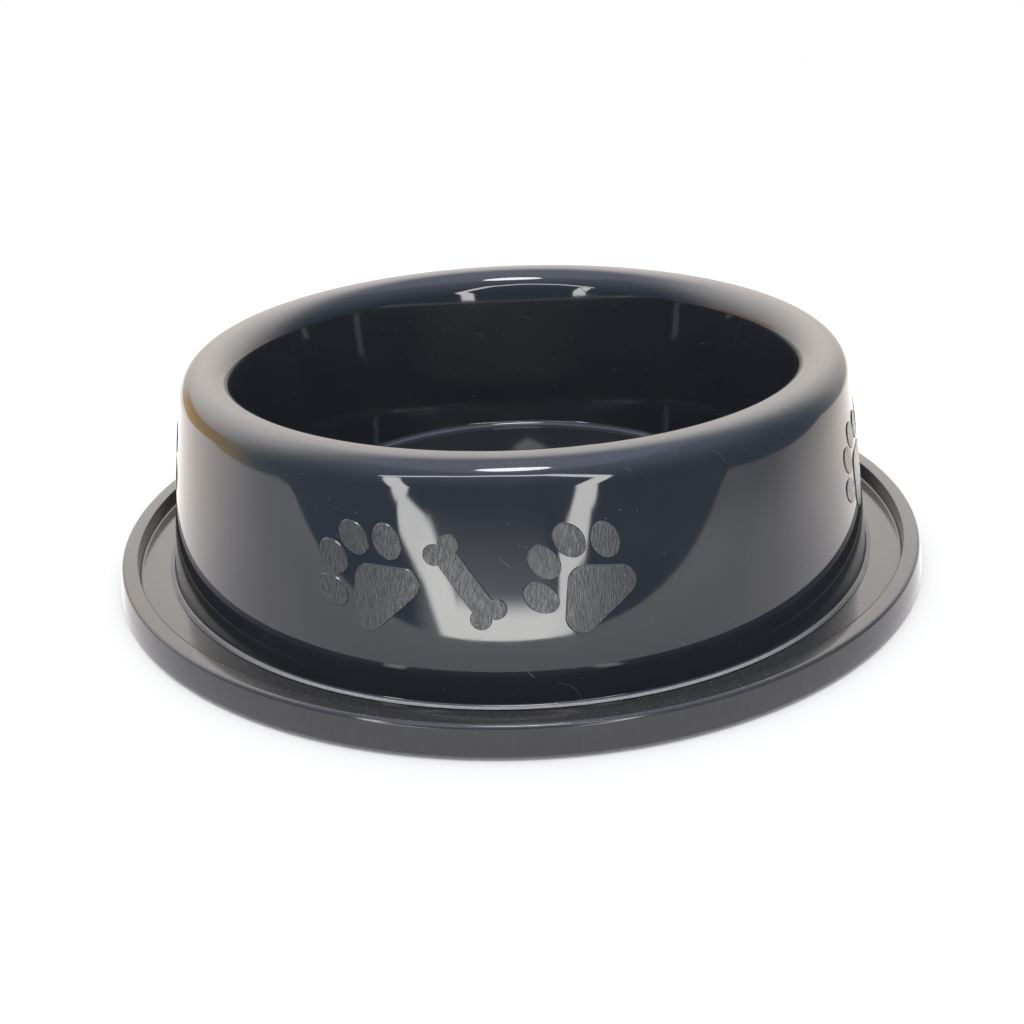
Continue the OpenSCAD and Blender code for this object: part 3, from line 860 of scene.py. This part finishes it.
def makeBoard():
    b = board
    floor = newPlane("board", [(x, y, -b["drop"]) for x, y in b["edge"]])
    material, tree, shader = newMaterial("boardWhite")
    shader.inputs["Roughness"].default_value = b["roughness"]
    rays = add(tree, "ShaderNodeLightPath")
    white = mixed(tree, rays.outputs["Is Camera Ray"], b["colour"], b["seen"])
    plug(tree, white, shader.inputs["Base Color"])
    # painted light: glossy pieces see the board glow at a painted level, brighter and warmer towards the
    # back
    axes = axesOf(tree, coordinates(tree))
    near, far = b["level"][0][0], b["level"][-1][0]
    across = mapped(tree, axes["Y"], near * mm, far * mm)
    stops = [((y - near) / (far - near), rampColour(colour)) for y, colour in b["level"]]
    dimmed = mapped(tree, axes["X"], b["dimX"][0] * mm, b["dimX"][1] * mm, True, 1.0, b["dimRest"])
    mirrored = add(tree, "ShaderNodeEmission")
    plug(tree, scaled(tree, ramp(tree, across, stops), dimmed), mirrored.inputs["Color"])
    mirrored.inputs["Strength"].default_value = surroundings["scale"]
    choice = add(tree, "ShaderNodeMixShader")
    plug(tree, rays.outputs["Is Glossy Ray"], choice.inputs[0])
    plug(tree, shader.outputs[0], choice.inputs[1])
    plug(tree, mirrored.outputs[0], choice.inputs[2])
    plug(tree, choice.outputs[0], tree.nodes["Material Output"].inputs["Surface"])
    floor.data.materials.append(material)


def strip(tree, point, spec):
    # 1 on the strip and 0 away from it, with a soft edge
    start, end = (Vector((spec[k][0], window["y"], spec[k][1])) * mm for k in ("from", "to"))
    run = end - start
    away = vectorMaths(tree, "SUBTRACT", point, start)
    held = add(tree, "ShaderNodeClamp")
    plug(tree, vectorMaths(tree, "DOT_PRODUCT", away, run / run.length_squared), held.inputs["Value"])
    gap = vectorMaths(tree, "DISTANCE", away, scaled(tree, run, held.outputs[0]))
    outer, inner = (spec["half"] + side * spec["soft"] / 2 for side in (1, -1))
    return mapped(tree, gap, outer * mm, inner * mm, True)


def makeWindow():
    w = window
    (x0, z0), (x1, z1), y = w["low"], w["high"], w["y"]
    pane = newPlane("windowPane", [(x0, y, z0), (x1, y, z0), (x1, y, z1), (x0, y, z1)])
    material, tree, shader = newMaterial("windowLight")
    tree.nodes.remove(shader)
    place = coordinates(tree)
    bright = 0.0
    for spec in w["strips"]:
        bright = maths(tree, "MAXIMUM", strip(tree, place, spec), bright)
    haze = maths(tree, "MULTIPLY", strip(tree, place, w["glow"]), w["glow"]["level"])
    level = maths(tree, "ADD", maths(tree, "MULTIPLY", bright, w["level"]), haze)
    # where the pane is dark it lets the surroundings through
    light = add(tree, "ShaderNodeEmission")
    light.inputs["Color"].default_value = (*w["colour"], 1)
    plug(tree, level, light.inputs["Strength"])
    clear = add(tree, "ShaderNodeBsdfTransparent")
    total = add(tree, "ShaderNodeAddShader")
    plug(tree, light.outputs[0], total.inputs[0])
    plug(tree, clear.outputs[0], total.inputs[1])
    plug(tree, total.outputs[0], tree.nodes["Material Output"].inputs["Surface"])
    pane.data.materials.append(material)
    pane.visible_camera = False
    pane.visible_diffuse = False
    pane.visible_shadow = False


def makeCeilingLamp():
    # level is how bright its face looks, where 1 is white
    bpy.ops.object.light_add(type="AREA")
    lamp = bpy.context.active_object
    lamp.name = "ceilingLamp"
    lamp.data.shape = "ELLIPSE"
    lamp.data.size, lamp.data.size_y = (s * mm for s in ceilingLamp["size"])
    area = math.pi / 4 * lamp.data.size * lamp.data.size_y
    lamp.data.energy = ceilingLamp["level"] * math.pi * area
    centre = Vector(ceilingLamp["centre"])
    place = centre.to_track_quat("Z", "Y").to_matrix().to_4x4()
    place.translation = centre * mm
    lamp.matrix_world = place
    lamp.visible_camera = False


def byElevation(tree, height, stops):
    rows = [((math.sin(math.radians(angle)) + 1) / 2, rampColour(colour)) for angle, colour in stops]
    return ramp(tree, height, rows)


def warmPatch(tree, ray):
    w = surroundings["warm"]
    azimuth, elevation = math.radians(w["azimuth"]), math.radians(w["elevation"])
    middle = Vector((math.sin(azimuth) * math.cos(elevation), -math.cos(azimuth) * math.cos(elevation),
                     math.sin(elevation)))
    across = Vector((math.cos(azimuth), math.sin(azimuth), 0))
    up = middle.cross(across)
    offset = vectorMaths(tree, "SUBTRACT", ray, middle)
    u = vectorMaths(tree, "DOT_PRODUCT", offset, across / math.sin(math.radians(w["width"])))
    v = vectorMaths(tree, "DOT_PRODUCT", offset, up / math.sin(math.radians(w["height"])))
    # faded further towards the front than at its back end
    backEnd, frontEnd = (mapped(tree, u, *w[k], True) for k in ("backEnd", "frontEnd"))
    ends = maths(tree, "MULTIPLY", backEnd, frontEnd)
    edges = mapped(tree, maths(tree, "ABSOLUTE", v, 0.0), *w["edge"], True)
    near = maths(tree, "GREATER_THAN", vectorMaths(tree, "DOT_PRODUCT", ray, middle), 0.0)
    return maths(tree, "MULTIPLY", maths(tree, "MULTIPLY", ends, edges), near)


def makeWorld():
    s = surroundings
    world = bpy.data.worlds.new("studioWorld")
    bpy.context.scene.world = world
    world.use_nodes = True
    tree = world.node_tree
    background = tree.nodes["Background"]
    ray = add(tree, "ShaderNodeTexCoord").outputs["Generated"]
    axes = axesOf(tree, ray)
    height = mapped(tree, axes["Z"], -1, 1)
    back = byElevation(tree, height, s["back"])
    front = byElevation(tree, height, s["front"])
    # the right side is dimmer, mostly low down
    dim = maths(tree, "MULTIPLY", mapped(tree, axes["X"], *s["dimRight"], True),
                mapped(tree, axes["Z"], *s["dimUp"], True))
    front = mixed(tree, dim, front, scaled(tree, front, s["rightDim"]))
    toBack = vectorMaths(tree, "DOT_PRODUCT", ray, (s["shareLean"], 1.0, 0.0))
    share = ramp(tree, mapped(tree, toBack, -1, 1), [((at + 1) / 2, value) for at, value in s["share"]])
    room = mixed(tree, share, front, back)
    room = mixed(tree, warmPatch(tree, ray), room, rampColour(s["warm"]["colour"]))
    mirrored = scaled(tree, room, s["scale"])
    rays = add(tree, "ShaderNodeLightPath")
    lit = mixed(tree, rays.outputs["Is Glossy Ray"], ramp(tree, height, s["soft"]), mirrored)
    plug(tree, mixed(tree, rays.outputs["Is Camera Ray"], lit, (1, 1, 1)), background.inputs["Color"])
    background.inputs["Strength"].default_value = 1.0


makeBoard()
makeWindow()
makeCeilingLamp()
makeWorld()
bpy.context.scene.view_settings.view_transform = "Standard"
print("stage lit")

bpy.context.view_layer.update()
